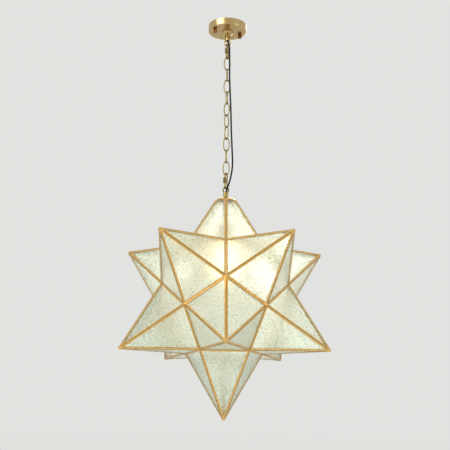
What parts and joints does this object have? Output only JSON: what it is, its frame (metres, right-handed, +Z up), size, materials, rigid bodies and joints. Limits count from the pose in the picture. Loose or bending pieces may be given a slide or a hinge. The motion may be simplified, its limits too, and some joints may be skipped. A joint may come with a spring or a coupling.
{
  "type": "moravian star pendant light",
  "caption": "Star-shaped pendant light: a stellated shade of seeded glass panes in brass came, hung by a chain with a cord beside it from a round ceiling canopy.",
  "frame": {"origin": "middle of the face that meets the ceiling", "axes": "+Z up into the ceiling, the lamp hangs along -Z, and the access door is at +Y"},
  "size_m": [0.5212, 0.548, 1.0666],
  "materials": {
    "canopy_brass": "polished, lacquered",
    "chain_brass": "antique plated",
    "came_brass": "drawn strip, lacquered",
    "zinc_steel": "zinc plated",
    "seeded_glass": "seeded and frosted",
    "bulb_glass": "opal, lit",
    "bulb_cap_metal": "rolled thread",
    "contact_brass": "stamped",
    "porcelain": "glazed white",
    "terminal_plastic": "moulded",
    "cord_black": "extruded sheath",
    "core_insulation": "extruded"
  },
  "bodies": {
    "ceiling_mount": {"ceiling_crossbar": "zinc_steel", "crossbar_studs": "zinc_steel", "terminal_block": "terminal_plastic", "supply_cores": "core_insulation", "canopy": "canopy_brass", "canopy_boss": "canopy_brass", "canopy_nipple": "zinc_steel", "canopy_locknut": "zinc_steel", "canopy_loop": "canopy_brass", "cord": "cord_black"},
    "thumb_nut_left": {"thumb_nut_left": "canopy_brass"},
    "thumb_nut_right": {"thumb_nut_right": "canopy_brass"},
    "top_quick_link": {"top_quick_link": "chain_brass"},
    "top_sleeve_nut": {"top_quick_link_nut": "chain_brass"},
    "chain_link_01": {"chain_link_01": "chain_brass"},
    "chain_link_02": {"chain_link_02": "chain_brass"},
    "chain_link_03": {"chain_link_03": "chain_brass"},
    "chain_link_04": {"chain_link_04": "chain_brass"},
    "chain_link_05": {"chain_link_05": "chain_brass"},
    "chain_link_06": {"chain_link_06": "chain_brass"},
    "chain_link_07": {"chain_link_07": "chain_brass"},
    "chain_link_08": {"chain_link_08": "chain_brass"},
    "chain_link_09": {"chain_link_09": "chain_brass"},
    "chain_link_10": {"chain_link_10": "chain_brass"},
    "bottom_quick_link": {"bottom_quick_link": "chain_brass"},
    "bottom_sleeve_nut": {"bottom_quick_link_nut": "chain_brass"},
    "star": {"star_loop": "chain_brass", "star_cap": "came_brass", "top_rim": "came_brass", "cap_strap": "zinc_steel", "star_nipple": "zinc_steel", "star_locknut": "zinc_steel", "lamp_cores": "core_insulation", "lampholder_cap": "porcelain", "lampholder_shell": "porcelain", "lampholder_insert": "porcelain", "lampholder_contacts": "contact_brass", "top_point_frame": "came_brass", "top_point_glass": "seeded_glass", "bottom_point_frame": "came_brass", "bottom_point_glass": "seeded_glass", "upper_point_frames": "came_brass", "lower_point_frames": "came_brass", "upper_point_glass_1": "seeded_glass", "upper_point_glass_2": "seeded_glass", "upper_point_glass_3": "seeded_glass", "upper_point_glass_4": "seeded_glass", "lower_point_glass_1": "seeded_glass", "lower_point_glass_2": "seeded_glass", "lower_point_glass_3": "seeded_glass", "lower_point_glass_4": "seeded_glass", "lower_point_glass_5": "seeded_glass", "door_hinge_fixed_leaves": "came_brass", "door_hinge_pins": "came_brass"},
    "door": {"door_frame": "came_brass", "door_glass": "seeded_glass", "door_hinge_moving_leaves": "came_brass"},
    "bulb": {"bulb_screw_cap": "bulb_cap_metal", "bulb_envelope": "bulb_glass"}
  },
  "joints": [
    {"name": "swing_top_quick_link", "type": "hinge", "parent": "ceiling_mount", "child": "top_quick_link", "pos_m": [0, 0, -0.0595], "axis": [1, 0, 0], "range_deg": [-40, 40], "deforming": ["cord"]},
    {"name": "swing_chain_link_01", "type": "hinge", "parent": "top_quick_link", "child": "chain_link_01", "pos_m": [0, 0, -0.0976], "axis": [-0.342, -0.9397, 0], "range_deg": [-40, 40]},
    {"name": "swing_chain_link_02", "type": "hinge", "parent": "chain_link_01", "child": "chain_link_02", "pos_m": [0, 0, -0.1303], "axis": [-1, 0, 0], "range_deg": [-40, 40]},
    {"name": "swing_chain_link_03", "type": "hinge", "parent": "chain_link_02", "child": "chain_link_03", "pos_m": [0, 0, -0.1634], "axis": [0.1392, 0.9903, 0], "range_deg": [-40, 40]},
    {"name": "swing_chain_link_04", "type": "hinge", "parent": "chain_link_03", "child": "chain_link_04", "pos_m": [0, 0, -0.1965], "axis": [1, 0, 0], "range_deg": [-40, 40]},
    {"name": "swing_chain_link_05", "type": "hinge", "parent": "chain_link_04", "child": "chain_link_05", "pos_m": [0, 0, -0.2296], "axis": [-0.309, -0.9511, 0], "range_deg": [-40, 40]},
    {"name": "swing_chain_link_06", "type": "hinge", "parent": "chain_link_05", "child": "chain_link_06", "pos_m": [0, 0, -0.2627], "axis": [-0.848, 0.5299, 0], "range_deg": [-40, 40]},
    {"name": "swing_chain_link_07", "type": "hinge", "parent": "chain_link_06", "child": "chain_link_07", "pos_m": [0, 0, -0.2958], "axis": [0.6947, 0.7193, 0], "range_deg": [-40, 40]},
    {"name": "swing_chain_link_08", "type": "hinge", "parent": "chain_link_07", "child": "chain_link_08", "pos_m": [0, 0, -0.3289], "axis": [0.5592, -0.829, 0], "range_deg": [-40, 40]},
    {"name": "swing_chain_link_09", "type": "hinge", "parent": "chain_link_08", "child": "chain_link_09", "pos_m": [0, 0, -0.362], "axis": [-0.9613, -0.2756, 0], "range_deg": [-40, 40]},
    {"name": "swing_chain_link_10", "type": "hinge", "parent": "chain_link_09", "child": "chain_link_10", "pos_m": [0, 0, -0.3951], "axis": [-0.1045, 0.9945, 0], "range_deg": [-40, 40]},
    {"name": "swing_bottom_quick_link", "type": "hinge", "parent": "chain_link_10", "child": "bottom_quick_link", "pos_m": [0, 0, -0.4282], "axis": [0.9976, -0.0698, 0], "range_deg": [-40, 40]},
    {"name": "swing_star", "type": "hinge", "parent": "bottom_quick_link", "child": "star", "pos_m": [0, 0, -0.4667], "axis": [-0.4384, -0.8988, 0], "range_deg": [-40, 40]},
    {"name": "unscrew_thumb_nut_left", "type": "slide", "parent": "ceiling_mount", "child": "thumb_nut_left", "axis": [0, 0, -1], "range_m": [0, 0.01]},
    {"name": "unscrew_thumb_nut_right", "type": "slide", "parent": "ceiling_mount", "child": "thumb_nut_right", "axis": [0, 0, -1], "range_m": [0, 0.01]},
    {"name": "open_top_sleeve_nut", "type": "slide", "parent": "top_quick_link", "child": "top_sleeve_nut", "axis": [0, 0, 1], "range_m": [0, 0.007]},
    {"name": "open_bottom_sleeve_nut", "type": "slide", "parent": "bottom_quick_link", "child": "bottom_sleeve_nut", "axis": [0, 0, 1], "range_m": [0, 0.007]},
    {"name": "unscrew_bulb", "type": "slide", "parent": "star", "child": "bulb", "axis": [0, 0, -1], "range_m": [0, 0.03]},
    {"name": "open_door", "type": "hinge", "parent": "star", "child": "door", "pos_m": [0, 0.08718, -0.62057], "axis": [1, 0, 0], "range_deg": [0, 95]}
  ]
}
